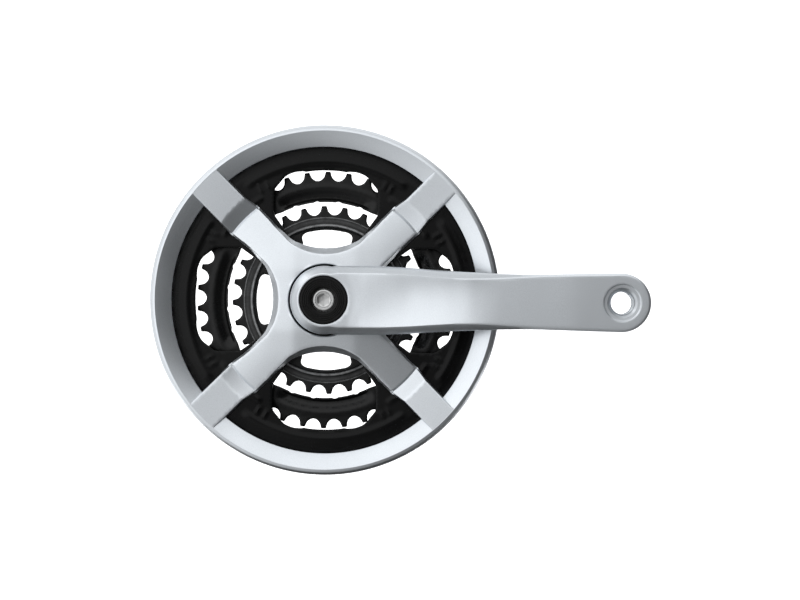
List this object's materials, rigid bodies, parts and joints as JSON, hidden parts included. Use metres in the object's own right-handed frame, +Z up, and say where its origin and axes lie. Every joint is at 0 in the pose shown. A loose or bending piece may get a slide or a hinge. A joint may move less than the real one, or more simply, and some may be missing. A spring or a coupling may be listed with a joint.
{
  "type": "bicycle crankset",
  "caption": "Drive-side bicycle crankset: silver crank arm on a square taper, stamped black chainrings riveted in a stack, and a moulded silver chain guard with a cross.",
  "frame": {"origin": "centre of the square taper's mouth, on the spindle axis, where the spindle enters the arm", "axes": "+X along the crank arm to the pedal, -Y outboard away from the frame, +Y inboard along the spindle, +Z up with the arm level and pointing forward"},
  "size_m": [0.2972, 0.0509, 0.2106],
  "materials": {
    "arm_paint": "satin silver paint over forged aluminium",
    "guard_plastic": "satin metallic silver paint on moulded plastic",
    "ring_steel": "satin black on stamped steel",
    "rivet_steel": "darkened steel",
    "zinc_steel": "zinc plated",
    "bolt_steel": "bright zinc plated",
    "cap_plastic": "moulded black plastic with ribs"
  },
  "bodies": {
    "crank": {"crank_arm": "arm_paint", "lock_ring": "zinc_steel", "outer_chainring": "ring_steel", "middle_chainring": "ring_steel", "inner_chainring": "ring_steel", "ring_rivet_1": "rivet_steel", "ring_rivet_2": "rivet_steel", "ring_rivet_3": "rivet_steel", "ring_rivet_4": "rivet_steel", "outer_spacer_1": "zinc_steel", "outer_spacer_2": "zinc_steel", "outer_spacer_3": "zinc_steel", "outer_spacer_4": "zinc_steel", "inner_spacer_1": "zinc_steel", "inner_spacer_2": "zinc_steel", "inner_spacer_3": "zinc_steel", "inner_spacer_4": "zinc_steel", "shift_pin_1": "zinc_steel", "shift_pin_2": "zinc_steel", "shift_pin_3": "zinc_steel", "shift_pin_4": "zinc_steel", "chain_guard": "guard_plastic", "guard_screw_1": "zinc_steel", "guard_screw_2": "zinc_steel", "guard_screw_3": "zinc_steel", "guard_screw_4": "zinc_steel", "dust_cap": "cap_plastic", "bolt_washer": "zinc_steel"},
    "fixing_bolt": {"fixing_bolt": "bolt_steel"}
  },
  "joints": [
    {"name": "bolt_spin", "type": "hinge", "parent": "crank", "child": "fixing_bolt", "pos_m": [0, -0.0249, 0], "axis": [0, -1, 0], "continuous": true}
  ]
}
